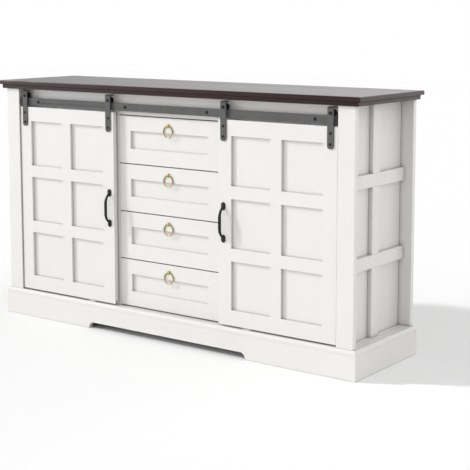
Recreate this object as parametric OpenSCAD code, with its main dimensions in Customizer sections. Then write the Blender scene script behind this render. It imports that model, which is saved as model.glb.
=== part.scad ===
// Farmhouse sideboard: two sliding barn-style doors either side of four drawers.
// Millimetres. +X is the sideboard's right seen from the front, the front faces -Y, +Z is up.
// The origin is on the floor, under the middle of the whole part.

/* [Overall] */
// Width of the top board
top_w = 1524; // [1300:1:1800]
// Height from the floor to the top surface
total_h = 860; // [760:1:920]
// Width over the corner posts
case_w = 1470; // [1250:1:1740]
// Depth over the corner posts
case_d = 376; // [330:1:450]
// Thickness of the ordinary carcass boards
board_t = 18; // [15:0.5:22]

/* [Top] */
// Thickness of the top board
slab_t = 13.5; // [12:0.5:22]
// Thickness of the narrower board under it
underboard_t = 15; // [12:0.5:22]
// How far the top board stands out past the post faces at the front
slab_front = 19.5; // [10:0.5:30]
// How far the lower board stands out past the post faces at the front
underboard_front = 8.5; // [3:0.5:15]
// How far the lower board stands out past the posts at each end
underboard_side = 14.5; // [5:0.5:20]
// Rounding of the upper edges of the top board
slab_round = 2; // [1:0.5:4]

/* [Base] */
// Height of the base, floor to the top of its deck
base_h = 95; // [80:1:110]
// Thickness of the base deck
deck_t = 16; // [14:0.5:20]
// How far the base stands out past the posts at each end
base_side = 13.5; // [5:0.5:20]
// How far the base stands out past the post faces at the front
base_front = 7; // [3:0.5:15]
// Chamfer along the deck's upper edge
deck_chamfer = 6.5; // [3:0.5:7]
// Length of the shallow cut-out under the front board
cutout_w = 679; // [400:1:900]
// Height of that cut-out
cutout_h = 22.5; // [15:0.5:35]
// Rounding of the cut-out's upper corners
cutout_r = 21; // [5:0.5:24]

/* [Sides] */
// Width of a corner post across the front
post_w = 60; // [50:1:75]
// Thickness of a corner post
post_t = 18; // [15:0.5:22]
// How far the side panel sits in from the posts' outer edges
side_inset = 45; // [35:0.5:50]
// Width of the side battens
batten_w = 42; // [30:1:50]
// Thickness of the side battens
batten_t = 14.5; // [10:0.5:18]
// Centre height of the lower side rail
rail_low_z = 337; // [300:1:370]
// Centre height of the upper side rail
rail_high_z = 592; // [560:1:630]
// Thickness of the back panel
back_t = 6; // [4:0.5:9]

/* [Doors] */
// Width of one door
door_w = 448; // [380:1:520]
// Height of one door
door_h = 667; // [600:1:700]
// Thickness of a door
door_t = 16; // [15:0.5:18]
// Distance of a closed door's inner edge from the middle of the sideboard
door_inner_x = 224; // [215:0.5:260]
// How far the door faces sit behind the post faces
door_setback = 5; // [2:0.5:8]
// Gap under the doors
door_gap = 5; // [3:0.5:8]
// Width of the doors' outer frame members
door_stile = 51.5; // [40:1:65]
// Width of the doors' inner frame members
door_muntin = 42; // [30:1:50]
// Depth of the door panels behind the frame's face
door_recess = 9; // [6:0.5:10]
// Gap left between the doors when both are slid to the middle
meeting_gap = 4; // [2:0.5:10]

/* [Barn-door rail] */
// Height of the flat bar's lower edge
bar_z = 773; // [771:1:776]
// Height of the flat bar
bar_h = 26; // [20:1:30]
// Thickness of the flat bar
bar_t = 6; // [4:0.5:8]
// How far the bar's face sits behind the post faces
bar_setback = 10; // [8:0.5:11]
// Distance of the inner bar bolts from the middle
bolt_inner_x = 174.5; // [150:1:200]
// Distance of the outer bar bolts from the middle
bolt_outer_x = 587; // [560:1:600]
// Width of a hanger strap
strap_w = 22.5; // [20:0.5:28]
// Thickness of a hanger strap
strap_t = 3.5; // [3:0.5:4]
// Height of a hanger strap's lower end
strap_low_z = 699; // [680:1:720]
// Height of a hanger strap's top
strap_top_z = 826; // [824:0.5:828]
// Distance of the inner strap's centre line from the door's inner edge
strap_inner = 22.5; // [20:0.5:30]
// Distance of the outer strap's centre line from the door's outer edge
strap_outer = 25; // [20:0.5:30]
// Radius of a roller where it runs on the bar
roller_r = 8; // [6:0.5:10]
// Radius of a roller's flanges
flange_r = 13; // [11:0.5:13]

/* [Handles and pulls] */
// Length of a door handle over its feet
handle_l = 132; // [110:1:160]
// How far a door handle stands out from the door's face
handle_out = 26; // [20:0.5:32]
// Radius of the handle's grip
grip_r = 5.2; // [3.5:0.1:5.5]
// Length of the grip's straight middle
grip_straight = 36; // [20:1:40]
// Height of the handles' middle
handle_z = 435.5; // [400:0.5:470]
// Distance of a handle from its door's inner edge
handle_edge = 21; // [20:0.5:30]
// Mean radius of a drawer ring
ring_r = 19; // [15:0.5:22]
// Radius of the ring's wire
wire_r = 2; // [1.5:0.1:2.2]
// Radius of the boss that holds a ring
boss_r = 7; // [5:0.5:7]

/* [Drawers] */
// Width of a drawer front
front_w = 430; // [400:1:436]
// Height of a drawer front
front_h = 162; // [150:1:165]
// Distance between one drawer front and the next, centre to centre
drawer_pitch = 165; // [153:1:168]
// How far the drawer faces sit behind the post faces
drawer_setback = 27; // [27:0.5:29]
// Height of the band above and below a drawer's recessed field
front_rail = 51; // [40:1:55]
// Width of the band at each end of the recessed field
front_stile = 49.5; // [35:0.5:60]
// Depth of the recessed field
front_recess = 8; // [5:0.5:10]
// Width of a drawer box
box_w = 404; // [370:1:404]
// Depth of a drawer box behind its front
box_d = 300; // [250:1:310]
// Height of a drawer box
box_h = 118; // [90:1:130]
// Thickness of the drawer box's sides
box_t = 14; // [12:0.5:16]

/* [Hidden] */
$fn = 64;
left = -1;
right = 1;
drawer_count = 4;
// Front to back, from the handles' foremost point to the back
handle_reach = handle_out - door_setback;
total_d = case_d + handle_reach;
face_y = handle_reach - total_d / 2;
back_y = face_y + case_d;
// Heights
underboard_z = total_h - slab_t - underboard_t;
plinth_h = base_h - deck_t;
door_z = base_h + door_gap;
door_top_z = door_z + door_h;
header_z = 759;
// Carcass planes
case_x = case_w / 2;
post_x = case_x - post_w;
panel_out_x = case_x - side_inset;
panel_in_x = panel_out_x - board_t;
base_x = case_x + base_side;
post_back_y = face_y + post_t;
rear_post_y = back_y - post_t;
header_y = face_y + 30;
header_back_y = header_y + board_t;
back_panel_y = back_y - back_t;
divider_in_x = front_w / 2 + 1;
divider_out_x = divider_in_x + board_t;
divider_y = face_y + drawer_setback + 1;
shelf_z = 455;
shelf_front_y = header_back_y + 24;
batten_y = face_y + 180.5;
batten_out_x = panel_out_x + batten_t;
// Rail and rollers
strap_x = [door_inner_x + strap_inner, door_inner_x + door_w - strap_outer];
bar_y = face_y + bar_setback;
bar_back_y = bar_y + bar_t;
bar_x = post_x - 5;
bar_mid_z = bar_z + bar_h / 2;
roller_gap = 0.3;
flange_t = 3;
axle_r = 3;
axle_z = bar_z + bar_h + roller_r + roller_gap;
roller_front_y = bar_y - roller_gap - flange_t;
roller_back_y = bar_back_y + roller_gap + flange_t;
stop_x = strap_x[1] + strap_w / 2 + 1.5;
// Doors
door_y = face_y + door_setback;
door_back_y = door_y + door_t;
strap_y = door_y - strap_t;
strap_screw_z = [713, 746.5];
screw_r = 2;
screw_head_r = 4.6;
screw_head_t = 2.2;
bolt_head_r = 5.5;
bolt_head_t = 3;
fit_gap = 0.1;
door_rows = 3;
pane_w = (door_w - 2 * door_stile - door_muntin) / 2;
pane_h = (door_h - 2 * door_stile - (door_rows - 1) * door_muntin) / door_rows;
groove_w = 8;
groove_h = 11;
guide_x = 335;
handle_x = door_inner_x + handle_edge;
// Drawers
drawer_y = face_y + drawer_setback;
front_t = board_t;
box_y = drawer_y + front_t;
first_drawer_z = base_h + 4;
box_lift = 20;
runner_h = 13;
runner_lift = 52;
runner_reach = 6;
runner_gap = 0.5;
pivot_drop = front_rail / 2;
ring_gap = 0.6;
ring_y = drawer_y - ring_gap - wire_r;
pin_r = 1.6;
boss_out = 5.1;

// Part to draw

// ---------- helpers ----------

// A board between two opposite corners
module board(low, high) {
  translate(low) cube(high - low);
}

// Draws its children on the right, or mirrored onto the left
module on_side(side) {
  mirror([side < 0 ? 1 : 0, 0, 0]) children();
}

// A round bar along Y from y0 to y1
module rod_y(x, z, y0, y1, r) {
  translate([x, y1, z]) rotate([90, 0, 0]) cylinder(h = y1 - y0, r = r);
}

// A round bar centred on x, along X
module rod_x(x, y, z, length, r) {
  translate([x, y, z]) rotate([0, 90, 0]) cylinder(h = length, r = r, center = true);
}

// Lower edge of drawer n, where drawer 1 is the top one
function drawer_z(n) = first_drawer_z + (drawer_count - n) * drawer_pitch;

// Height of a ring's hinge line on drawer n
function pivot_z(n) = drawer_z(n) + front_h - pivot_drop;

// ---------- top ----------

module top_slab() {
  low_z = total_h - slab_t;
  color([0.20, 0.13, 0.12])
  translate([0, 0, low_z])
  intersection() {
    translate([-top_w / 2, face_y - slab_front, 0])
      cube([top_w, slab_front + case_d, slab_t]);
    // Rounded long upper edges, front and ends
    union() {
      translate([-top_w / 2, face_y - slab_front, 0])
        cube([top_w, slab_front + case_d, slab_t - slab_round]);
      translate([-top_w / 2 + slab_round, face_y - slab_front + slab_round, 0])
        cube([top_w - 2 * slab_round, slab_front + case_d - slab_round, slab_t]);
      translate([0, face_y - slab_front + slab_round, slab_t - slab_round])
        rod_x(0, 0, 0, top_w - 2 * slab_round, slab_round);
      for (side = [left, right])
        rod_y(side * (top_w / 2 - slab_round), slab_t - slab_round,
              face_y - slab_front + slab_round, back_y, slab_round);
      for (side = [left, right])
        translate([side * (top_w / 2 - slab_round), face_y - slab_front + slab_round,
                   slab_t - slab_round])
          sphere(r = slab_round);
    }
  }
}

module top_underboard() {
  x = case_x + underboard_side;
  color([0.20, 0.13, 0.12])
  board([-x, face_y - underboard_front, underboard_z], [x, back_y, total_h - slab_t]);
}

// ---------- base ----------

module base_deck() {
  front_y = face_y - base_front;
  color([0.93, 0.93, 0.91])
  difference() {
    board([-base_x, front_y, plinth_h], [base_x, back_y, base_h]);
    translate([0, front_y, base_h]) chamfer_cut(2 * base_x + 2);
    for (side = [left, right])
      on_side(side)
        translate([base_x, (front_y + back_y) / 2, base_h])
          rotate([0, 0, 90]) chamfer_cut(case_d + base_front + 30);
  }
}

// A square bar along X, turned onto its edge, that cuts a chamfer
module chamfer_cut(length) {
  rotate([45, 0, 0])
    cube([length, deck_chamfer * sqrt(2), deck_chamfer * sqrt(2)], center = true);
}

module plinth_front() {
  y0 = face_y - base_front;
  color([0.93, 0.93, 0.91])
  difference() {
    board([-base_x, y0, 0], [base_x, y0 + board_t, plinth_h]);
    translate([0, y0 - 1, 0]) floor_cutout();
  }
}

// The shallow opening under the front board, with rounded ends
module floor_cutout() {
  half = cutout_w / 2;
  r = min(cutout_r, cutout_h - 1);
  translate([0, board_t + 2, 0]) rotate([90, 0, 0])
  linear_extrude(height = board_t + 2) {
    translate([-half, -1]) square([cutout_w, cutout_h - r + 1]);
    translate([-half + r, -1]) square([cutout_w - 2 * r, cutout_h + 1]);
    for (side = [left, right])
      translate([side * (half - r), cutout_h - r]) circle(r = r);
  }
}

module plinth_side(side) {
  color([0.93, 0.93, 0.91])
  on_side(side)
    board([base_x - board_t, face_y - base_front + board_t, 0], [base_x, back_y, plinth_h]);
}

module plinth_back() {
  x = base_x - board_t;
  color([0.93, 0.93, 0.91])
  board([-x, back_y - board_t, 0], [x, back_y, plinth_h]);
}

// ---------- carcass ----------

module front_post(side) {
  color([0.93, 0.93, 0.91])
  on_side(side)
    board([post_x, face_y, base_h], [case_x, post_back_y, underboard_z]);
}

module rear_post(side) {
  color([0.93, 0.93, 0.91])
  on_side(side)
    board([panel_out_x, rear_post_y, base_h], [case_x, back_y, underboard_z]);
}

module side_panel(side) {
  color([0.93, 0.93, 0.91])
  on_side(side)
    board([panel_in_x, post_back_y, base_h], [panel_out_x, back_y, underboard_z]);
}

// Upright batten, notched to half its thickness where the rails cross it
module side_stile(side) {
  half_w = batten_w / 2;
  color([0.93, 0.93, 0.91])
  on_side(side)
  difference() {
    board([panel_out_x, batten_y - half_w, base_h],
          [batten_out_x, batten_y + half_w, underboard_z]);
    for (z = [rail_low_z, rail_high_z])
      board([panel_out_x + batten_t / 2, batten_y - half_w - 1, z - half_w],
            [batten_out_x + 1, batten_y + half_w + 1, z + half_w]);
  }
}

// Two level battens between the posts, lapped over the upright
module side_rails(side) {
  half_w = batten_w / 2;
  color([0.93, 0.93, 0.91])
  on_side(side)
  for (z = [rail_low_z, rail_high_z])
    difference() {
      board([panel_out_x, post_back_y, z - half_w], [batten_out_x, rear_post_y, z + half_w]);
      board([panel_out_x - 1, batten_y - half_w, z - half_w - 1],
            [panel_out_x + batten_t / 2, batten_y + half_w, z + half_w + 1]);
    }
}

// Upright between a cupboard and the drawers, notched round the header rail
module divider(side) {
  color([0.93, 0.93, 0.91])
  on_side(side)
  difference() {
    board([divider_in_x, divider_y, base_h], [divider_out_x, back_panel_y, underboard_z]);
    board([divider_in_x - 1, divider_y - 1, header_z],
          [divider_out_x + 1, header_back_y, underboard_z + 1]);
  }
}

module header_rail() {
  color([0.93, 0.93, 0.91])
  difference() {
    board([-panel_in_x, header_y, header_z], [panel_in_x, header_back_y, underboard_z]);
    for (x = [-bolt_outer_x, -bolt_inner_x, bolt_inner_x, bolt_outer_x])
      rod_y(x, bar_mid_z, header_y - 1, header_back_y + 1, axle_r + fit_gap);
  }
}

module back_panel() {
  color([0.90, 0.89, 0.86])
  board([-panel_in_x, back_panel_y, base_h], [panel_in_x, back_y, underboard_z]);
}

module shelf(side) {
  color([0.93, 0.93, 0.91])
  on_side(side)
    board([divider_out_x, shelf_front_y, shelf_z], [panel_in_x, back_panel_y, shelf_z + 16]);
}

// Wooden strips on the dividers that the drawer sides ride on
module drawer_runners() {
  color([0.80, 0.66, 0.46])
  for (n = [1 : drawer_count])
    for (side = [left, right])
      on_side(side)
        board([box_w / 2 - runner_reach, header_back_y, drawer_z(n) + runner_lift],
              [divider_in_x, header_back_y + box_d - 10,
               drawer_z(n) + runner_lift + runner_h]);
}

// ---------- barn-door rail ----------

module rail_bar() {
  color([0.22, 0.22, 0.23])
  difference() {
    board([-bar_x, bar_y, bar_z], [bar_x, bar_back_y, bar_z + bar_h]);
    for (x = [-bolt_outer_x, -bolt_inner_x, bolt_inner_x, bolt_outer_x])
      rod_y(x, bar_mid_z, bar_y - 1, bar_back_y + 1, axle_r + fit_gap);
  }
}

// Bolts with a collar that holds the bar off the header
module rail_bolts() {
  color([0.12, 0.12, 0.12])
  for (x = [-bolt_outer_x, -bolt_inner_x, bolt_inner_x, bolt_outer_x]) {
    rod_y(x, bar_mid_z, bar_y - bolt_head_t, bar_y, bolt_head_r);
    rod_y(x, bar_mid_z, bar_y, header_back_y - 4, axle_r);
    rod_y(x, bar_mid_z, bar_back_y, header_y, 6);
  }
}

// Blocks at the ends of the bar that the outer straps close against
module rail_stops() {
  color([0.06, 0.06, 0.06])
  for (side = [left, right])
    on_side(side)
    difference() {
      board([stop_x, face_y + 3, bar_z - 1.5], [bar_x + 1, face_y + 19, bar_z + bar_h + 1]);
      board([stop_x - 1, bar_y, bar_z], [bar_x, bar_back_y, bar_z + bar_h]);
    }
}

// Fins on the deck that run in a groove under each door
module door_guides() {
  mid_y = door_y + door_t / 2;
  color([0.90, 0.90, 0.88])
  for (side = [left, right])
    on_side(side) {
      board([guide_x - 16, mid_y - 7, base_h], [guide_x + 16, mid_y + 7, base_h + 2]);
      board([guide_x - 13, mid_y - 2.5, base_h + 2], [guide_x + 13, mid_y + 2.5, base_h + 12]);
    }
}

// ---------- doors ----------

// The openings of the six panes, as boxes cut right through
module door_panes() {
  for (column = [0, 1])
    for (row = [0 : door_rows - 1]) {
      x = door_inner_x + door_stile + column * (pane_w + door_muntin);
      z = door_z + door_stile + row * (pane_h + door_muntin);
      board([x, door_y - 1, z], [x + pane_w, door_back_y + 1, z + pane_h]);
    }
}

// Rebate in the frame's back that takes the panel board
module door_panel_space(gap) {
  margin = door_stile - 12 - gap;
  board([door_inner_x + margin, door_y + door_recess, door_z + margin],
        [door_inner_x + door_w - margin, door_back_y + (gap > 0 ? 1 : 0),
         door_z + door_h - margin]);
}

module door_frame(side) {
  mid_y = door_y + door_t / 2;
  color([0.95, 0.95, 0.93])
  on_side(side)
  difference() {
    board([door_inner_x, door_y, door_z], [door_inner_x + door_w, door_back_y, door_top_z]);
    door_panes();
    door_panel_space(fit_gap);
    board([door_inner_x - 1, mid_y - groove_w / 2, door_z - 1],
          [door_inner_x + door_w + 1, mid_y + groove_w / 2, door_z + groove_h]);
    for (x = strap_x)
      for (z = strap_screw_z)
        rod_y(x, z, door_y - 1, door_y + 8, screw_r + fit_gap);
  }
}

module door_panel(side) {
  color([0.95, 0.95, 0.93])
  on_side(side) door_panel_space(0);
}

// A flat strap with a rounded lower end and a short top flange over the roller
module hanger(side, x) {
  corner = 9;
  color([0.20, 0.20, 0.21])
  on_side(side)
  difference() {
    union() {
      board([x - strap_w / 2, strap_y, strap_low_z + corner],
            [x + strap_w / 2, door_y, strap_top_z]);
      board([x - strap_w / 2 + corner, strap_y, strap_low_z],
            [x + strap_w / 2 - corner, door_y, strap_low_z + corner]);
      for (edge = [-1, 1])
        rod_y(x + edge * (strap_w / 2 - corner), strap_low_z + corner, strap_y, door_y, corner);
      board([x - strap_w / 2, strap_y, strap_top_z - strap_t],
            [x + strap_w / 2, roller_back_y + 2, strap_top_z]);
    }
    rod_y(x, axle_z, strap_y - 1, door_y + 1, axle_r + fit_gap);
    for (z = strap_screw_z)
      rod_y(x, z, strap_y - 1, door_y + 1, screw_r + fit_gap);
  }
}

// Axle bolts with their nuts, and the strap screws, of one door
module door_fixings(side) {
  color([0.10, 0.10, 0.10])
  on_side(side)
  for (x = strap_x) {
    rod_y(x, axle_z, strap_y - bolt_head_t, strap_y, bolt_head_r);
    rod_y(x, axle_z, strap_y, roller_back_y + 4, axle_r);
    translate([x, roller_back_y + 4, axle_z]) rotate([90, 0, 0])
      cylinder(h = 3.6, r = 6, $fn = 6);
    for (z = strap_screw_z) {
      rod_y(x, z, strap_y - screw_head_t, strap_y, screw_head_r);
      rod_y(x, z, strap_y, door_y + 7, screw_r);
    }
  }
}

// A grooved wheel that rides on the bar's upper edge
module roller(side, x) {
  color([0.05, 0.05, 0.05])
  on_side(side)
  difference() {
    union() {
      rod_y(x, axle_z, roller_front_y, roller_back_y, roller_r);
      rod_y(x, axle_z, roller_front_y, roller_front_y + flange_t, flange_r);
      rod_y(x, axle_z, roller_back_y - flange_t, roller_back_y, flange_r);
    }
    rod_y(x, axle_z, roller_front_y - 1, roller_back_y + 1, axle_r + 0.05);
  }
}

// A grip that bows out between two rounded feet, straight in the middle
module door_handle(side) {
  foot_w = 17;
  foot_t = 3;
  foot_l = 26;
  half_chord = handle_l / 2 - foot_l / 2;
  color([0.07, 0.07, 0.07])
  on_side(side)
  translate([handle_x, door_y, handle_z]) {
    for (end = [-1, 1])
      translate([0, 0, end * half_chord]) rotate([90, 0, 0])
        linear_extrude(height = foot_t) {
          for (tip = [-1, 1])
            translate([0, tip * (foot_l - foot_w) / 2]) circle(r = foot_w / 2);
          square([foot_w, foot_l - foot_w], center = true);
        }
    intersection() {
      handle_grip(half_chord - 2);
      board([-foot_w, -handle_out - 1, -handle_l], [foot_w, 0, handle_l]);
    }
  }
}

// A round bar with a bend at each end that reaches Y = 0 at this height above and below the middle
module handle_grip(end_z) {
  sag = handle_out - grip_r;
  run = end_z - grip_straight / 2;
  bend_r = (run * run + sag * sag) / (2 * sag);
  sweep = asin(run / bend_r);
  overrun = 5;
  translate([0, -sag, -grip_straight / 2]) cylinder(h = grip_straight, r = grip_r);
  for (end = [0, 1])
    mirror([0, 0, end])
      translate([0, bend_r - sag, grip_straight / 2])
        rotate([0, 0, -90]) rotate([90, 0, 0])
        rotate_extrude(angle = sweep + overrun) translate([bend_r, 0]) circle(r = grip_r);
}

// ---------- drawers ----------

module drawer_front(n) {
  x = front_w / 2;
  z = drawer_z(n);
  color([0.95, 0.95, 0.93])
  difference() {
    board([-x, drawer_y, z], [x, drawer_y + front_t, z + front_h]);
    board([-x + front_stile, drawer_y - 1, z + front_rail],
          [x - front_stile, drawer_y + front_recess, z + front_h - front_rail]);
    rod_y(0, pivot_z(n), drawer_y - 1, drawer_y + 10, screw_r + fit_gap);
  }
}

// An open box, its sides grooved for the runners
module drawer_box(n) {
  x = box_w / 2;
  z = drawer_z(n) + box_lift;
  groove_z = drawer_z(n) + runner_lift - runner_gap;
  color([0.84, 0.72, 0.53])
  difference() {
    board([-x, box_y, z], [x, box_y + box_d, z + box_h]);
    board([-x + box_t, box_y - 1, z + 12], [x - box_t, box_y + box_d - box_t, z + box_h + 1]);
    for (side = [left, right])
      on_side(side)
        board([x - runner_reach - 1, box_y - 1, groove_z],
              [x + 1, box_y + box_d + 1, groove_z + runner_h + 2 * runner_gap]);
  }
}

// A round boss with an eye across it for the ring
module drawer_boss(n) {
  dome_t = 1.5;
  color([0.45, 0.36, 0.18])
  difference() {
    union() {
      rod_y(0, pivot_z(n), drawer_y - boss_out + dome_t, drawer_y, boss_r);
      translate([0, drawer_y - boss_out + dome_t, pivot_z(n)]) rotate([90, 0, 0])
        cylinder(h = dome_t, r1 = boss_r, r2 = boss_r - dome_t);
      rod_y(0, pivot_z(n), drawer_y, drawer_y + 9, screw_r);
    }
    rod_x(0, ring_y, pivot_z(n), 4 * boss_r, pin_r + 0.05);
  }
}

// A wire ring that hangs from a straight pin through the boss
module drawer_ring(n) {
  gap_angle = asin((boss_r + 1.2) / ring_r);
  pin_l = 2 * (boss_r + 1.6);
  color([0.30, 0.25, 0.17])
  translate([0, ring_y, pivot_z(n)]) {
    rotate([0, 90, 0]) cylinder(h = pin_l, r = pin_r, center = true);
    translate([0, 0, -ring_r]) rotate([90, 0, 0]) rotate([0, 0, 90 + gap_angle])
      rotate_extrude(angle = 360 - 2 * gap_angle) translate([ring_r, 0]) circle(r = wire_r);
  }
}

// ---------- assembly ----------

top_slab();
top_underboard();
front_post(left);  // front_post_left
front_post(right);  // front_post_right
rear_post(left);  // rear_post_left
rear_post(right);  // rear_post_right
side_panel(left);  // side_panel_left
side_panel(right);  // side_panel_right
side_stile(left);  // side_stile_left
side_stile(right);  // side_stile_right
side_rails(left);  // side_rails_left
side_rails(right);  // side_rails_right
divider(left);  // divider_left
divider(right);  // divider_right
base_deck();
plinth_front();
plinth_side(left);  // plinth_left
plinth_side(right);  // plinth_right
plinth_back();
header_rail();
back_panel();
shelf(left);  // shelf_left
shelf(right);  // shelf_right
rail_bar();
rail_bolts();
rail_stops();
door_guides();
drawer_runners();
door_frame(left);  // door_left_frame
door_panel(left);  // door_left_panel
door_handle(left);  // door_left_handle
hanger(left, strap_x[0]);  // door_left_hanger_inner
hanger(left, strap_x[1]);  // door_left_hanger_outer
door_fixings(left);  // door_left_fixings
roller(left, strap_x[0]);  // roller_left_inner
roller(left, strap_x[1]);  // roller_left_outer
door_frame(right);  // door_right_frame
door_panel(right);  // door_right_panel
door_handle(right);  // door_right_handle
hanger(right, strap_x[0]);  // door_right_hanger_inner
hanger(right, strap_x[1]);  // door_right_hanger_outer
door_fixings(right);  // door_right_fixings
roller(right, strap_x[0]);  // roller_right_inner
roller(right, strap_x[1]);  // roller_right_outer
drawer_front(1);  // drawer_1_front
drawer_box(1);  // drawer_1_box
drawer_boss(1);  // drawer_1_boss
drawer_ring(1);  // drawer_1_ring
drawer_front(2);  // drawer_2_front
drawer_box(2);  // drawer_2_box
drawer_boss(2);  // drawer_2_boss
drawer_ring(2);  // drawer_2_ring
drawer_front(3);  // drawer_3_front
drawer_box(3);  // drawer_3_box
drawer_boss(3);  // drawer_3_boss
drawer_ring(3);  // drawer_3_ring
drawer_front(4);  // drawer_4_front
drawer_box(4);  // drawer_4_box
drawer_boss(4);  // drawer_4_boss
drawer_ring(4);  // drawer_4_ring
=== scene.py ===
"""Looks of the farmhouse sideboard: its materials, its small hardware, the studio and the camera."""

import math

import bmesh
import bpy
from mathutils import Matrix, Vector


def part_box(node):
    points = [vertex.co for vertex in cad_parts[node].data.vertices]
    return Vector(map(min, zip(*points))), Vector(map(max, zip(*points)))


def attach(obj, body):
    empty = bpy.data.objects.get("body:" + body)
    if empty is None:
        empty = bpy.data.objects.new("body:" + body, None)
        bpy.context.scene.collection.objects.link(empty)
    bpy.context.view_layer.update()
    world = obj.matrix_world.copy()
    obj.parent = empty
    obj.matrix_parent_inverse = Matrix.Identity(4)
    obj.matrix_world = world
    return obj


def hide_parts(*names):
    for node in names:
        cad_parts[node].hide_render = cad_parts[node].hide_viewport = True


MM = 0.001
SIDES = {"left": -1, "right": 1}
STRAPS = ("inner", "outer")
DRAWERS = (1, 2, 3, 4)

# Where the rail's bolts stand along it, and how high each strap's screws are above its lower end
RAIL_BOLTS_X = (-587 * MM, -174.5 * MM, 174.5 * MM, 587 * MM)
STRAP_SCREWS_Z = (14 * MM, 47.5 * MM)
# Radius and height of the two sizes of bolt head, how far behind the head's seat a shank starts,
# and the radius of the larger shank
BOLT_HEAD = (5.5 * MM, 3 * MM)
SCREW_HEAD = (4.6 * MM, 2.2 * MM)
SHANK_START = 0.2 * MM
BOLT_R = 3 * MM

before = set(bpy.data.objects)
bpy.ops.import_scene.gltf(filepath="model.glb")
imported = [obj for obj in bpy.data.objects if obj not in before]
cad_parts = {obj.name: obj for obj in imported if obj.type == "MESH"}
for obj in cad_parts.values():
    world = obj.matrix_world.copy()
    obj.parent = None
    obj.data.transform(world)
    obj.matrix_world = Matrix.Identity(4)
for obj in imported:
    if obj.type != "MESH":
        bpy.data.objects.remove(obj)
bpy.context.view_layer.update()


# ---------- mesh helpers ----------


def new_piece(name, bm, smooth=True):
    """Turns a bmesh into an object in the scene."""
    bmesh.ops.recalc_face_normals(bm, faces=bm.faces)
    mesh = bpy.data.meshes.new(name)
    bm.to_mesh(mesh)
    bm.free()
    for face in mesh.polygons:
        face.use_smooth = smooth
    piece = bpy.data.objects.new(name, mesh)
    bpy.context.scene.collection.objects.link(piece)
    return piece


def hexagon_reach(angle):
    """How far a hexagon's edge is from its middle at this angle, for a circumradius of 1."""
    return math.cos(math.pi / 6) / math.cos(angle % (math.pi / 3) - math.pi / 6)


def lathe(bm, centre, rings, segments=36):
    """A closed turned solid about the Y axis. A ring is (radius, y) or (radius, y, "hex")."""
    loops = []
    for radius, y, *form in rings:
        loop = []
        for i in range(segments):
            angle = 2 * math.pi * i / segments
            reach = radius * (hexagon_reach(angle) if form else 1)
            place = Vector((reach * math.cos(angle), y, reach * math.sin(angle)))
            loop.append(bm.verts.new(centre + place))
        loops.append(loop)
    for one, other in zip(loops, loops[1:]):
        for i in range(segments):
            j = (i + 1) % segments
            bm.faces.new((one[i], one[j], other[j], other[i]))
    bm.faces.new(loops[0])
    bm.faces.new(reversed(loops[-1]))


def tube(bm, path, radii, across, segments=20):
    """A closed tube along a path in a plane, with a radius at each point. across is the plane's normal."""
    loops = []
    last = len(path) - 1
    for i, point in enumerate(path):
        along = (path[min(i + 1, last)] - path[max(i - 1, 0)]).normalized()
        out = along.cross(across).normalized()
        loop = []
        for k in range(segments):
            angle = 2 * math.pi * k / segments
            place = out * math.cos(angle) + across * math.sin(angle)
            loop.append(bm.verts.new(point + place * radii[i]))
        loops.append(loop)
    for one, other in zip(loops, loops[1:]):
        for k in range(segments):
            m = (k + 1) % segments
            bm.faces.new((one[k], one[m], other[m], other[k]))
    bm.faces.new(loops[0])
    bm.faces.new(reversed(loops[-1]))


def apply_modifiers(piece):
    """Replaces the piece's mesh by what its modifiers make of it."""
    graph = bpy.context.evaluated_depsgraph_get()
    mesh = bpy.data.meshes.new_from_object(piece.evaluated_get(graph))
    piece.modifiers.clear()
    piece.data = mesh
    for face in mesh.polygons:
        face.use_smooth = True


def round_edges(piece, width, segments=2):
    """Rounds every sharp edge with a narrow bevel that shades as one smooth strip."""
    bevel = piece.modifiers.new("rounded_edges", "BEVEL")
    bevel.width = width
    bevel.segments = segments
    bevel.limit_method = "ANGLE"
    bevel.angle_limit = math.radians(40)
    bevel.harden_normals = True
    bevel.use_clamp_overlap = False


def soften_board(node, width):
    """Gives a CAD board the small rounded edges of sanded and painted wood."""
    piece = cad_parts[node]
    normals = piece.data.attributes.get("custom_normal")
    if normals:
        piece.data.attributes.remove(normals)
    for face in piece.data.polygons:
        face.use_smooth = True
    weld = piece.modifiers.new("weld", "WELD")
    weld.merge_threshold = 0.01 * MM
    flat = piece.modifiers.new("whole_faces", "DECIMATE")
    flat.decimate_type = "DISSOLVE"
    flat.angle_limit = math.radians(0.5)
    round_edges(piece, width)


# ---------- material helpers ----------


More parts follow.
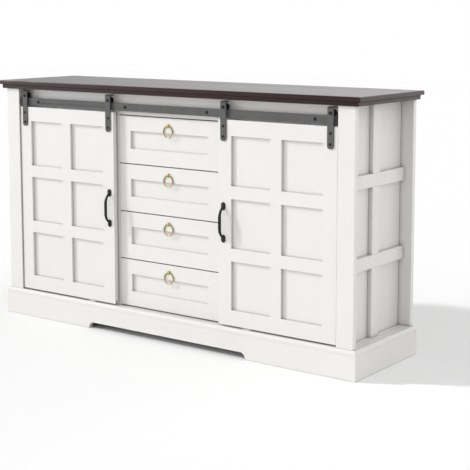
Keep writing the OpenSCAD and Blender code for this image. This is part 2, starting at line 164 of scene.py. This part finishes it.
class Look:
    """One material's node graph around its Principled shader."""

    def __init__(self, name, sockets):
        self.material = bpy.data.materials.new(name)
        self.material.use_nodes = True
        self.tree = self.material.node_tree
        self.shader = self.tree.nodes["Principled BSDF"]
        self.set(self.shader, sockets)

    def set(self, node, sockets):
        """Links each socket that is given another node's output, and sets the others."""
        for key, value in sockets.items():
            if isinstance(value, bpy.types.NodeSocket):
                self.tree.links.new(value, node.inputs[key])
            else:
                node.inputs[key].default_value = value

    def add(self, kind, sockets=None, **settings):
        """A new node with its sockets and settings."""
        node = self.tree.nodes.new(kind)
        for key, value in settings.items():
            setattr(node, key, value)
        self.set(node, sockets or {})
        return node

    def place(self, stretch):
        """Coordinates fixed to the piece, stretched along each axis."""
        where = self.add("ShaderNodeTexCoord").outputs["Object"]
        return self.add("ShaderNodeMapping", {"Vector": where, "Scale": stretch}).outputs["Vector"]

    def noise(self, stretch, detail=4.0, roughness=0.55, distortion=0.0):
        """A cloudy pattern, finer along an axis with a larger stretch."""
        sockets = {
            "Vector": self.place(stretch),
            "Scale": 1.0,
            "Detail": detail,
            "Roughness": roughness,
            "Distortion": distortion,
        }
        return self.add("ShaderNodeTexNoise", sockets).outputs["Fac"]

    def range(self, value, low, high, start=0.3, end=0.7):
        """Maps a pattern's values from start to end onto numbers from low to high."""
        sockets = {
            "Value": value,
            "From Min": start,
            "From Max": end,
            "To Min": low,
            "To Max": high,
        }
        return self.add("ShaderNodeMapRange", sockets).outputs["Result"]

    def blend(self, share, one, other):
        """A colour between two colours. Three equal numbers stand for one number."""
        node = self.add("ShaderNodeMix", data_type="RGBA")
        sockets = [s for s in node.inputs if s.type == "RGBA" or s.name == "Factor"]
        self.tree.links.new(share, sockets[0])
        for socket, colour in zip(sockets[-2:], (one, other)):
            if isinstance(colour, bpy.types.NodeSocket):
                self.tree.links.new(colour, socket)
            else:
                socket.default_value = (*colour, 1.0)
        return [s for s in node.outputs if s.type == "RGBA"][0]

    def openness(self, reach):
        """1 on open surface, less in inner corners within this reach."""
        return self.add("ShaderNodeAmbientOcclusion", {"Distance": reach}, samples=6).outputs["AO"]

    def bump(self, height, depth, strength=1.0, under=None):
        """A relief of this depth. under is another relief below it."""
        sockets = {"Height": height, "Distance": depth, "Strength": strength}
        if under:
            sockets["Normal"] = under
        return self.add("ShaderNodeBump", sockets).outputs["Normal"]

    def finish(self, colour, roughness, normal):
        """Links the shader's colour, roughness and relief."""
        self.set(self.shader, {"Base Color": colour, "Roughness": roughness, "Normal": normal})
        return self.material


def grain_stretch(axis, along, across):
    """Stretch for a grain that runs along one axis: long features along it, fine ones across."""
    return tuple(along if letter == axis else across for letter in "XYZ")


def white_paint(name, axis, corner=6 * MM):
    """Satin white paint over wood whose fine grain still shows a little, with painted shade that darkens
    inner corners.
    """
    look = Look(name, {"IOR": 1.45})
    grain = look.noise(grain_stretch(axis, 7, 420), detail=5, roughness=0.6)
    clouds = look.noise((5, 5, 5), detail=3)
    colour = look.blend(look.range(clouds, 0, 1), (0.668, 0.660, 0.645), (0.652, 0.643, 0.628))
    colour = look.blend(look.range(grain, 0, 0.35, 0.35, 0.75), colour, (0.615, 0.606, 0.588))
    # Painted shade: an ambient-occlusion mask darkens the colour towards deep grey in inner corners and
    # gaps, within the corner reach.
    openness = look.openness(corner)
    colour = look.blend(look.range(openness, 0.5, 0, 0.40, 0.90), colour, (0.20, 0.19, 0.175))
    spray = look.noise((900, 900, 900), detail=1)
    fine = look.bump(spray, 0.04 * MM, 0.5)
    return look.finish(colour, look.range(grain, 0.38, 0.50), look.bump(grain, 0.12 * MM, 0.6, fine))


def dark_wood():
    """Espresso stain on wood under a satin varnish, its grain along the top, with painted shade in inner
    corners.
    """
    look = Look("dark_wood", {"IOR": 1.36})
    bands = look.noise((1.1, 26, 26), detail=6, roughness=0.6, distortion=0.6)
    pores = look.noise((9, 520, 520), detail=3, roughness=0.7)
    colour = look.blend(look.range(bands, 0, 1, 0.32, 0.68), (0.030, 0.008, 0.007), (0.015, 0.0035, 0.003))
    colour = look.blend(look.range(pores, 0, 0.6, 0.5, 0.7), colour, (0.005, 0.002, 0.002))
    # Painted shade: an ambient-occlusion mask darkens the stain towards near black in inner corners, such as
    # the step under the top; the same mask also makes those corners rougher.
    openness = look.openness(8 * MM)
    colour = look.blend(look.range(openness, 0.8, 0, 0.45, 0.95), colour, (0.003, 0.0015, 0.0015))
    dull = (0.8, 0.8, 0.8)
    roughness = look.blend(look.range(openness, 1, 0, 0.5, 0.95), look.range(bands, 0.21, 0.25), dull)
    return look.finish(colour, roughness, look.bump(pores, 0.10 * MM, 0.6))


def bare_wood():
    """Lacquered pale wood for the drawer boxes and runners."""
    look = Look("bare_wood", {"IOR": 1.45})
    rings = look.noise((30, 2.2, 30), detail=3, roughness=0.5, distortion=1.2)
    fibres = look.noise((420, 14, 420), detail=4, roughness=0.65)
    colour = look.blend(look.range(rings, 0, 1, 0.35, 0.65), (0.62, 0.44, 0.25), (0.50, 0.32, 0.16))
    colour = look.blend(look.range(fibres, 0, 0.45, 0.45, 0.75), colour, (0.36, 0.21, 0.10))
    return look.finish(colour, look.range(rings, 0.42, 0.55), look.bump(fibres, 0.15 * MM, 0.6))


def back_board():
    """Thin white-foiled board."""
    look = Look("back_board", {"IOR": 1.45})
    clouds = look.noise((4, 4, 4), detail=3)
    weave = look.noise((260, 260, 60), detail=3)
    colour = look.blend(look.range(clouds, 0, 1), (0.74, 0.73, 0.70), (0.70, 0.69, 0.655))
    return look.finish(colour, look.range(weave, 0.5, 0.65), look.bump(weave, 0.08 * MM, 0.6))


def powder_coat(name, light, dark, roughness, metal):
    """Powder-coated iron: fine pebbling, faint rubbed patches."""
    look = Look(name, {"IOR": 1.3, "Metallic": metal})
    patches = look.noise((28, 28, 28), detail=4)
    pebbles = look.noise((1300, 1300, 1300), detail=2)
    colour = look.blend(look.range(patches, 0, 1), light, dark)
    satin = look.range(patches, roughness - 0.05, roughness + 0.07)
    return look.finish(colour, satin, look.bump(pebbles, 0.05 * MM, 0.7))


def black_plastic():
    """Matt moulded plastic."""
    look = Look("black_plastic", {"IOR": 1.36})
    clouds = look.noise((60, 60, 60), detail=3)
    pebbles = look.noise((1500, 1500, 1500), detail=1)
    colour = look.blend(look.range(clouds, 0, 1), (0.010, 0.010, 0.010), (0.006, 0.006, 0.007))
    return look.finish(colour, look.range(clouds, 0.48, 0.6), look.bump(pebbles, 0.04 * MM, 0.6))


def white_plastic():
    """Matt nylon for the doors' floor guides."""
    look = Look("white_plastic", {"IOR": 1.5})
    clouds = look.noise((70, 70, 70), detail=3)
    pebbles = look.noise((1400, 1400, 1400), detail=1)
    colour = look.blend(look.range(clouds, 0, 1), (0.68, 0.675, 0.66), (0.63, 0.625, 0.61))
    return look.finish(colour, look.range(clouds, 0.5, 0.62), look.bump(pebbles, 0.04 * MM, 0.6))


def antique_brass(name, bright, dark):
    """Aged brass, darkened in patches."""
    look = Look(name, {"Metallic": 1.0})
    patches = look.noise((260, 260, 260), detail=4)
    scratches = look.noise((300, 2600, 900), detail=2)
    colour = look.blend(look.range(patches, 0, 1, 0.38, 0.62), bright, dark)
    return look.finish(colour, look.range(patches, 0.26, 0.42), look.bump(scratches, 0.02 * MM, 0.5))


LOOKS = {
    "upright_paint": white_paint("upright_paint", "Z"),
    # The same white paint with its painted corner shade reaching further, which darkens the recessed rear
    # posts and side stiles.
    "side_paint_deeper_shade": white_paint("side_paint_deeper_shade", "Z", corner=16 * MM),
    "level_paint": white_paint("level_paint", "X"),
    "deep_paint": white_paint("deep_paint", "Y"),
    "dark_wood": dark_wood(),
    "bare_wood": bare_wood(),
    "back_board": back_board(),
    "grey_iron": powder_coat("grey_iron", (0.093, 0.092, 0.090), (0.082, 0.081, 0.080), 0.55, 0.05),
    "black_iron": powder_coat("black_iron", (0.022, 0.022, 0.023), (0.012, 0.012, 0.013), 0.32, 0.15),
    "black_plastic": black_plastic(),
    "white_plastic": white_plastic(),
    "boss_brass": antique_brass("boss_brass", (0.50, 0.41, 0.15), (0.29, 0.23, 0.08)),
    "ring_brass": antique_brass("ring_brass", (0.60, 0.46, 0.20), (0.35, 0.26, 0.11)),
}


def paint_node(node, look):
    """Gives a CAD node its material."""
    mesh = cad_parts[node].data
    mesh.materials.clear()
    mesh.materials.append(LOOKS[look])


def hand_over(piece, body, look, slot, *nodes):
    """Finishes a new piece: its material, the body that it rides on and the CAD nodes it stands for."""
    piece.data.materials.clear()
    piece.data.materials.append(LOOKS[look])
    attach(piece, body)
    if nodes:
        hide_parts(*nodes)


# ---------- carcass and fronts ----------


def dress_boards():
    """Materials and edge rounding of the CAD boards that stay as they are."""
    upright = []
    upright_side = []
    deep = []
    level = ["base_deck", "plinth_front", "plinth_back", "header_rail", "shelf_left", "shelf_right"]
    for side in SIDES:
        for part in ("front_post", "side_panel", "divider"):
            upright.append(f"{part}_{side}")
        # Rear posts and side stiles take the paint with the deeper painted corner shade.
        upright_side += [f"rear_post_{side}", f"side_stile_{side}"]
        upright += [f"door_{side}_frame", f"door_{side}_panel"]
        deep += [f"side_rails_{side}", f"plinth_{side}"]
    for n in DRAWERS:
        level.append(f"drawer_{n}_front")
    painted = {
        "upright_paint": upright,
        "side_paint_deeper_shade": upright_side,
        "level_paint": level,
        "deep_paint": deep,
        "back_board": ["back_panel"],
    }
    for look, nodes in painted.items():
        for node in nodes:
            paint_node(node, look)
            soften_board(node, 0.9 * MM)
    for n in DRAWERS:
        paint_node(f"drawer_{n}_box", "bare_wood")
        soften_board(f"drawer_{n}_box", 0.8 * MM)
    paint_node("drawer_runners", "bare_wood")
    soften_board("drawer_runners", 0.6 * MM)
    paint_node("top_slab", "dark_wood")
    paint_node("top_underboard", "dark_wood")
    soften_board("top_underboard", 1.2 * MM)


def dress_rail():
    """Materials and edge rounding of the rail, its stops and the floor guides."""
    paint_node("rail_bar", "grey_iron")
    soften_board("rail_bar", 0.6 * MM)
    for node, look in (("rail_stops", "black_plastic"), ("door_guides", "white_plastic")):
        paint_node(node, look)
        soften_board(node, 0.6 * MM)


# ---------- hardware ----------


def socket_head(bm, centre, radius, height):
    """A domed bolt head that faces -Y, with a hexagonal socket. centre is on the seat."""
    rings = [
        (0.42 * radius, -0.35 * height, "hex"),
        (0.42 * radius, -0.97 * height, "hex"),
        (0.52 * radius, -height),
        (0.74 * radius, -0.90 * height),
        (0.90 * radius, -0.68 * height),
        (0.98 * radius, -0.38 * height),
        (radius, 0.0),
    ]
    lathe(bm, centre, rings)


def handle(side):
    """Cast pull: a grip that bows out and swells in the middle, on two rounded pads."""
    node = f"door_{side}_handle"
    low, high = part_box(node)
    middle = (low + high) / 2
    pad_w, pad_l, pad_t = high.x - low.x, 26 * MM, 3 * MM
    grip_r, margin, end_gap = 5.1 * MM, 0.1 * MM, 2 * MM
    half_straight = 18 * MM
    half_chord = (high.z - low.z - pad_l) / 2
    sag = high.y - low.y - grip_r - margin
    run = half_chord - end_gap - half_straight
    bend_r = (run**2 + sag**2) / (2 * sag)
    sweep = math.asin(run / bend_r)
    bm = bmesh.new()
    for end in (-1, 1):
        pad(bm, Vector((middle.x, high.y, middle.z + end * half_chord)), pad_w, pad_l, pad_t)
    steps = 16
    upper = []
    for i in range(steps + 1):
        angle = sweep * i / steps
        rise = bend_r * (1 - math.cos(angle))
        upper.append(Vector((middle.x, high.y - sag + rise, half_straight + bend_r * math.sin(angle))))
    inner = [Vector((middle.x, high.y - sag, half_straight * share)) for share in (0, 0.33, 0.67)]
    half = inner + upper
    path = [Vector((p.x, p.y, -p.z)) for p in reversed(half[1:])] + half
    radii = []
    for point in path:
        share = abs(point.z) / (half_straight + run)
        taper = 1 - 0.34 * max(0, (share - 0.35) / 0.65)
        flare = 0.30 * max(0, (share - 0.88) / 0.12) ** 2
        radii.append(grip_r * (taper + flare))
    tube(bm, [Vector((p.x, p.y, p.z + middle.z)) for p in path], radii, Vector((1, 0, 0)))
    piece = new_piece(f"pull_{side}", bm)
    fuse = piece.modifiers.new("fuse", "REMESH")
    fuse.mode = "VOXEL"
    fuse.voxel_size = 0.7 * MM
    smooth = piece.modifiers.new("smooth", "SMOOTH")
    smooth.iterations = 6
    smooth.factor = 0.5
    apply_modifiers(piece)
    hand_over(piece, f"door_{side}", "black_iron", "black_iron", node)


def pad(bm, seat, width, length, thickness):
    """A rounded foot with a domed face, on a seat that faces -Y."""
    straight = (length - width) / 2
    segments = 40
    loops = []
    for inset, y in ((0, 0), (0, -0.5), (0.06, -0.8), (0.22, -1.0), (0.55, -1.3)):
        loop = []
        for i in range(segments):
            angle = 2 * math.pi * (i + 0.5) / segments
            r = width / 2 * (1 - inset)
            z = r * math.sin(angle) + math.copysign(straight * (1 - 0.5 * inset), math.sin(angle))
            loop.append(bm.verts.new(seat + Vector((r * math.cos(angle), y * thickness, z))))
        loops.append(loop)
    for one, other in zip(loops, loops[1:]):
        for i in range(segments):
            j = (i + 1) % segments
            bm.faces.new((one[i], one[j], other[j], other[i]))
    bm.faces.new(loops[0])
    bm.faces.new(reversed(loops[-1]))


def hanger(side, strap):
    """Bent flat strap: rounded lower end, and a top that folds back over the roller."""
    node = f"door_{side}_hanger_{strap}"
    low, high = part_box(node)
    middle_x = (low.x + high.x) / 2
    half_w = (high.x - low.x) / 2
    corner, bend, sheet = 9 * MM, 5 * MM, 3.5 * MM
    rows = []
    steps = 8
    for i in range(steps + 1):
        angle = math.pi / 2 * i / steps
        rows.append((half_w - corner * (1 - math.sin(angle)), low.y, low.z + corner * (1 - math.cos(angle))))
    for i in range(steps + 1):
        angle = math.pi / 2 * i / steps
        y = low.y + bend * (1 - math.cos(angle))
        rows.append((half_w, y, high.z - bend * (1 - math.sin(angle))))
    rows.append((half_w, high.y, high.z))
    bm = bmesh.new()
    edges = []
    for half, y, z in rows:
        left = bm.verts.new((middle_x - half, y, z))
        right = bm.verts.new((middle_x + half, y, z))
        edges.append((left, right))
    for (a, b), (c, d) in zip(edges, edges[1:]):
        bm.faces.new((a, b, d, c))
    piece = new_piece(f"hanger_{side}_{strap}", bm)
    thick = piece.modifiers.new("sheet", "SOLIDIFY")
    thick.thickness = sheet
    thick.offset = -1
    thick.use_even_offset = True
    round_edges(piece, 0.5 * MM)
    apply_modifiers(piece)
    hand_over(piece, f"door_{side}", "grey_iron", "grey_iron", node)


def strap_bolts(side):
    """Axle bolts with their nuts, and the screws that hold the straps to the door."""
    nut_r, nut_face_r, chamfer = 6 * MM, 5.2 * MM, 0.4 * MM
    nut_start, nut_end = 0.5 * MM, 4 * MM
    screw_r, screw_reach = 2 * MM, 10 * MM
    bm = bmesh.new()
    for strap in STRAPS:
        low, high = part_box(f"door_{side}_hanger_{strap}")
        roller_low, roller_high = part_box(f"roller_{side}_{strap}")
        x = (low.x + high.x) / 2
        axle_z = (roller_low.z + roller_high.z) / 2
        socket_head(bm, Vector((x, low.y, axle_z)), *BOLT_HEAD)
        back = roller_high.y
        axle = [(BOLT_R, low.y + SHANK_START), (BOLT_R, back + nut_end)]
        lathe(bm, Vector((x, 0, axle_z)), axle)
        nut = [
            (nut_face_r, back + nut_start),
            (nut_r, back + nut_start + chamfer, "hex"),
            (nut_r, back + nut_end - chamfer, "hex"),
            (nut_face_r, back + nut_end),
        ]
        lathe(bm, Vector((x, 0, axle_z)), nut)
        for lift in STRAP_SCREWS_Z:
            socket_head(bm, Vector((x, low.y, low.z + lift)), *SCREW_HEAD)
            shank = [(screw_r, low.y + SHANK_START), (screw_r, low.y + screw_reach)]
            lathe(bm, Vector((x, 0, low.z + lift)), shank)
    piece = new_piece(f"strap_bolts_{side}", bm)
    hand_over(piece, f"door_{side}", "black_iron", "black_iron", f"door_{side}_fixings")


def roller(side, strap):
    """A grooved wheel with rounded flanges and a raised hub."""
    node = f"roller_{side}_{strap}"
    low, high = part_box(node)
    centre = Vector(((low.x + high.x) / 2, 0, (low.z + high.z) / 2))
    flange_r, tread_r, bore_r, flange_t = 13 * MM, 8 * MM, 3.05 * MM, 3 * MM
    hub_r, recess_r, soft = 6 * MM, 11.2 * MM, 0.6 * MM
    front, back = low.y, high.y
    rings = [
        (bore_r, back),
        (bore_r, front),
        (hub_r, front),
        (hub_r + soft, front + soft),
        (recess_r - soft, front + soft),
        (recess_r, front),
        (flange_r - soft, front),
        (flange_r, front + soft),
        (flange_r, front + flange_t - soft),
        (flange_r - soft, front + flange_t),
        (tread_r, front + flange_t),
        (tread_r, back - flange_t),
        (flange_r - soft, back - flange_t),
        (flange_r, back - flange_t + soft),
        (flange_r, back - soft),
        (flange_r - soft, back),
    ]
    bm = bmesh.new()
    ring_solid(bm, centre, rings)
    piece = new_piece(f"wheel_{side}_{strap}", bm, smooth=False)
    shade_by_angle(piece)
    hand_over(piece, node, "black_plastic", "black_plastic", node)


def ring_solid(bm, centre, rings, segments=48):
    """A turned solid with a hole: the last ring joins the first."""
    loops = []
    for radius, y in rings:
        loop = []
        for i in range(segments):
            angle = 2 * math.pi * i / segments
            place = Vector((radius * math.cos(angle), y, radius * math.sin(angle)))
            loop.append(bm.verts.new(centre + place))
        loops.append(loop)
    for one, other in zip(loops, loops[1:] + loops[:1]):
        for i in range(segments):
            j = (i + 1) % segments
            bm.faces.new((one[i], one[j], other[j], other[i]))


def shade_by_angle(piece, limit=32):
    """Smooth shading, with edges sharper than the limit kept crisp."""
    piece.data.shade_smooth()
    piece.data.set_sharp_from_angle(angle=math.radians(limit))


def rail_bolts():
    """Bolts through the bar, each with a spacer that holds the bar off the header."""
    bar_low, bar_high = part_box("rail_bar")
    header_low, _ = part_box("header_rail")
    mid_z = (bar_low.z + bar_high.z) / 2
    spacer_r, chamfer, bolt_reach = 6 * MM, 0.5 * MM, 14 * MM
    bm = bmesh.new()
    for x in RAIL_BOLTS_X:
        socket_head(bm, Vector((x, bar_low.y, mid_z)), *BOLT_HEAD)
        spacer = [
            (spacer_r - chamfer, bar_high.y),
            (spacer_r, bar_high.y + chamfer),
            (spacer_r, header_low.y - chamfer),
            (spacer_r - chamfer, header_low.y),
        ]
        lathe(bm, Vector((x, 0, mid_z)), spacer)
        shank = [(BOLT_R, bar_low.y + SHANK_START), (BOLT_R, header_low.y + bolt_reach)]
        lathe(bm, Vector((x, 0, mid_z)), shank)
    piece = new_piece("bar_bolts", bm)
    shade_by_angle(piece)
    hand_over(piece, "cabinet", "black_iron", "black_iron", "rail_bolts")


def ring_pull(n):
    """The boss with its small moulding, and the ring that hangs from it."""
    boss_low, boss_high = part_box(f"drawer_{n}_boss")
    front_low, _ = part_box(f"drawer_{n}_front")
    ring_low, ring_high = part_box(f"drawer_{n}_ring")
    face = front_low.y
    boss_r = (boss_high.z - boss_low.z) / 2
    pivot_z = (boss_high.z + boss_low.z) / 2
    out = face - boss_low.y
    spigot = 9 * MM
    rings = [
        (0.12 * boss_r, face - out),
        (0.42 * boss_r, face - 0.97 * out),
        (0.66 * boss_r, face - 0.86 * out),
        (0.78 * boss_r, face - 0.66 * out),
        (0.76 * boss_r, face - 0.44 * out),
        (0.70 * boss_r, face - 0.34 * out),
        (0.84 * boss_r, face - 0.30 * out),
        (0.97 * boss_r, face - 0.22 * out),
        (boss_r, face - 0.12 * out),
        (boss_r, face),
        (0.30 * boss_r, face),
        (0.30 * boss_r, face + spigot),
    ]
    bm = bmesh.new()
    lathe(bm, Vector((0, 0, pivot_z)), rings)
    boss = new_piece(f"pull_boss_{n}", bm)
    shade_by_angle(boss)
    hand_over(boss, f"drawer_{n}", "boss_brass", "antique_brass", f"drawer_{n}_boss")

    wire_r = (ring_high.y - ring_low.y) / 2
    ring_y = (ring_high.y + ring_low.y) / 2
    ring_r = (ring_high.x - ring_low.x) / 2 - wire_r
    centre = Vector((0, ring_y, ring_low.z + wire_r + ring_r))
    clearance = 1.2 * MM
    gap = math.asin((boss_r + clearance) / ring_r)
    bm = bmesh.new()
    steps = 72
    path, radii = [], []
    for i in range(steps + 1):
        angle = gap + (2 * math.pi - 2 * gap) * i / steps
        path.append(centre + Vector((ring_r * math.sin(angle), 0, ring_r * math.cos(angle))))
        radii.append(wire_r)
    tube(bm, path, radii, Vector((0, 1, 0)), segments=16)
    pin_r = 1.6 * MM
    half_pin = boss_r + pin_r
    pin = [Vector((x, ring_y, pivot_z)) for x in (-half_pin, 0, half_pin)]
    tube(bm, pin, [pin_r] * 3, Vector((0, 1, 0)), segments=16)
    ring = new_piece(f"pull_ring_{n}", bm)
    fuse = ring.modifiers.new("fuse", "REMESH")
    fuse.mode = "VOXEL"
    fuse.voxel_size = 0.4 * MM
    smooth = ring.modifiers.new("smooth", "SMOOTH")
    smooth.iterations = 3
    smooth.factor = 0.5
    apply_modifiers(ring)
    hand_over(ring, f"ring_{n}", "ring_brass", "antique_brass", f"drawer_{n}_ring")


# ---------- studio ----------


# Light from every side, and the soft lights: the direction towards each, how narrow it is and its strength
ROOM_LIGHT = 0.31
SOFT_LIGHTS = {
    "front_fill": ((0.1, -1, 0), 2, 0.86),
    "softbox_left": ((-0.85, -0.53, 0.1), 40, 8),
    "rear_right": ((0.5, 0.86, 0), 8, 2.8),
    "high_right": ((1, 0, 1), 5, 1.0),
    "overhead": ((0, 0, 1), 4, 0.28),
    "backdrop": ((-0.45, 1, 0.12), 8, 0.75),
}
KEY_TOWARDS = (-0.755, -0.406, 0.515)
KEY_STRENGTH = 1.85
KEY_WIDTH = math.radians(3.5)
FLOOR_REACH = 14


def soft_lights(tree):
    """The summed strength of the soft lights in the world's shader, by direction."""
    where = tree.nodes.new("ShaderNodeTexCoord").outputs["Generated"]
    total = ROOM_LIGHT
    for name, (towards, narrow, strength) in SOFT_LIGHTS.items():
        aim = tree.nodes.new("ShaderNodeVectorMath")
        aim.operation = "DOT_PRODUCT"
        aim.label = name
        aim.inputs[1].default_value = Vector(towards).normalized()
        tree.links.new(where, aim.inputs[0])
        lobe = math_node(tree, "MAXIMUM", aim.outputs["Value"], 0)
        lobe = math_node(tree, "POWER", lobe, narrow)
        lobe = math_node(tree, "MULTIPLY", lobe, strength)
        total = math_node(tree, "ADD", lobe, total)
    return total


def math_node(tree, operation, one, other):
    """The result of one sum in a node tree. other is an output or a number."""
    node = tree.nodes.new("ShaderNodeMath")
    node.operation = operation
    tree.links.new(one, node.inputs[0])
    if isinstance(other, bpy.types.NodeSocket):
        tree.links.new(other, node.inputs[1])
    else:
        node.inputs[1].default_value = other
    return node.outputs[0]


def studio_lights():
    """A white background, a key light from the front left and soft lights around."""
    scene = bpy.context.scene
    scene.view_settings.view_transform = "Standard"
    world = bpy.data.worlds.new("studio")
    world.use_nodes = True
    scene.world = world
    nodes, links = world.node_tree.nodes, world.node_tree.links
    lit = nodes["Background"]
    lit.inputs["Color"].default_value = (1, 1, 1, 1)
    links.new(soft_lights(world.node_tree), lit.inputs["Strength"])
    seen = nodes.new("ShaderNodeBackground")
    seen.inputs["Color"].default_value = (1, 1, 1, 1)
    seen.inputs["Strength"].default_value = 1.0
    mix = nodes.new("ShaderNodeMixShader")
    rays = nodes.new("ShaderNodeLightPath")
    links.new(rays.outputs["Is Camera Ray"], mix.inputs["Fac"])
    links.new(lit.outputs["Background"], mix.inputs[1])
    links.new(seen.outputs["Background"], mix.inputs[2])
    links.new(mix.outputs["Shader"], nodes["World Output"].inputs["Surface"])

    key = bpy.data.lights.new("key", "SUN")
    key.energy = KEY_STRENGTH
    key.angle = KEY_WIDTH
    key_object = bpy.data.objects.new("key", key)
    key_object.rotation_mode = "QUATERNION"
    key_object.rotation_quaternion = Vector(KEY_TOWARDS).to_track_quat("Z", "Y")
    scene.collection.objects.link(key_object)


def studio_floor():
    """A large matt, nearly white floor."""
    bm = bmesh.new()
    corners = []
    for x, y in ((-1, -1), (1, -1), (1, 1), (-1, 1)):
        corners.append(bm.verts.new((x * FLOOR_REACH, y * FLOOR_REACH, 0)))
    bm.faces.new(corners)
    floor = new_piece("floor", bm, smooth=False)
    look = Look("floor", {"Roughness": 0.9, "Specular IOR Level": 0.1})
    clouds = look.noise((2, 2, 2), detail=2)
    colour = look.blend(clouds, (0.86, 0.86, 0.86), (0.85, 0.85, 0.85))
    look.set(look.shader, {"Base Color": colour})
    floor.data.materials.append(look.material)


def camera():
    """A long lens at chest height, a little over 36 degrees round to the right, tilted down."""
    yaw, pitch = math.radians(36.41), math.radians(7.13)
    data = bpy.data.cameras.new("camera")
    data.sensor_width = 36
    data.lens = 94.08
    data.shift_y = -0.149
    data.clip_end = 60
    view = bpy.data.objects.new("camera", data)
    ahead = Vector((-math.sin(yaw) * math.cos(pitch), math.cos(yaw) * math.cos(pitch), -math.sin(pitch)))
    view.location = (2.584, -3.281, 1.108)
    view.rotation_mode = "QUATERNION"
    view.rotation_quaternion = ahead.to_track_quat("-Z", "Y")
    bpy.context.scene.collection.objects.link(view)
    bpy.context.scene.camera = view


dress_boards()
dress_rail()
for side in SIDES:
    handle(side)
    strap_bolts(side)
    for strap in STRAPS:
        hanger(side, strap)
        roller(side, strap)
rail_bolts()
for n in DRAWERS:
    ring_pull(n)
studio_lights()
studio_floor()
camera()
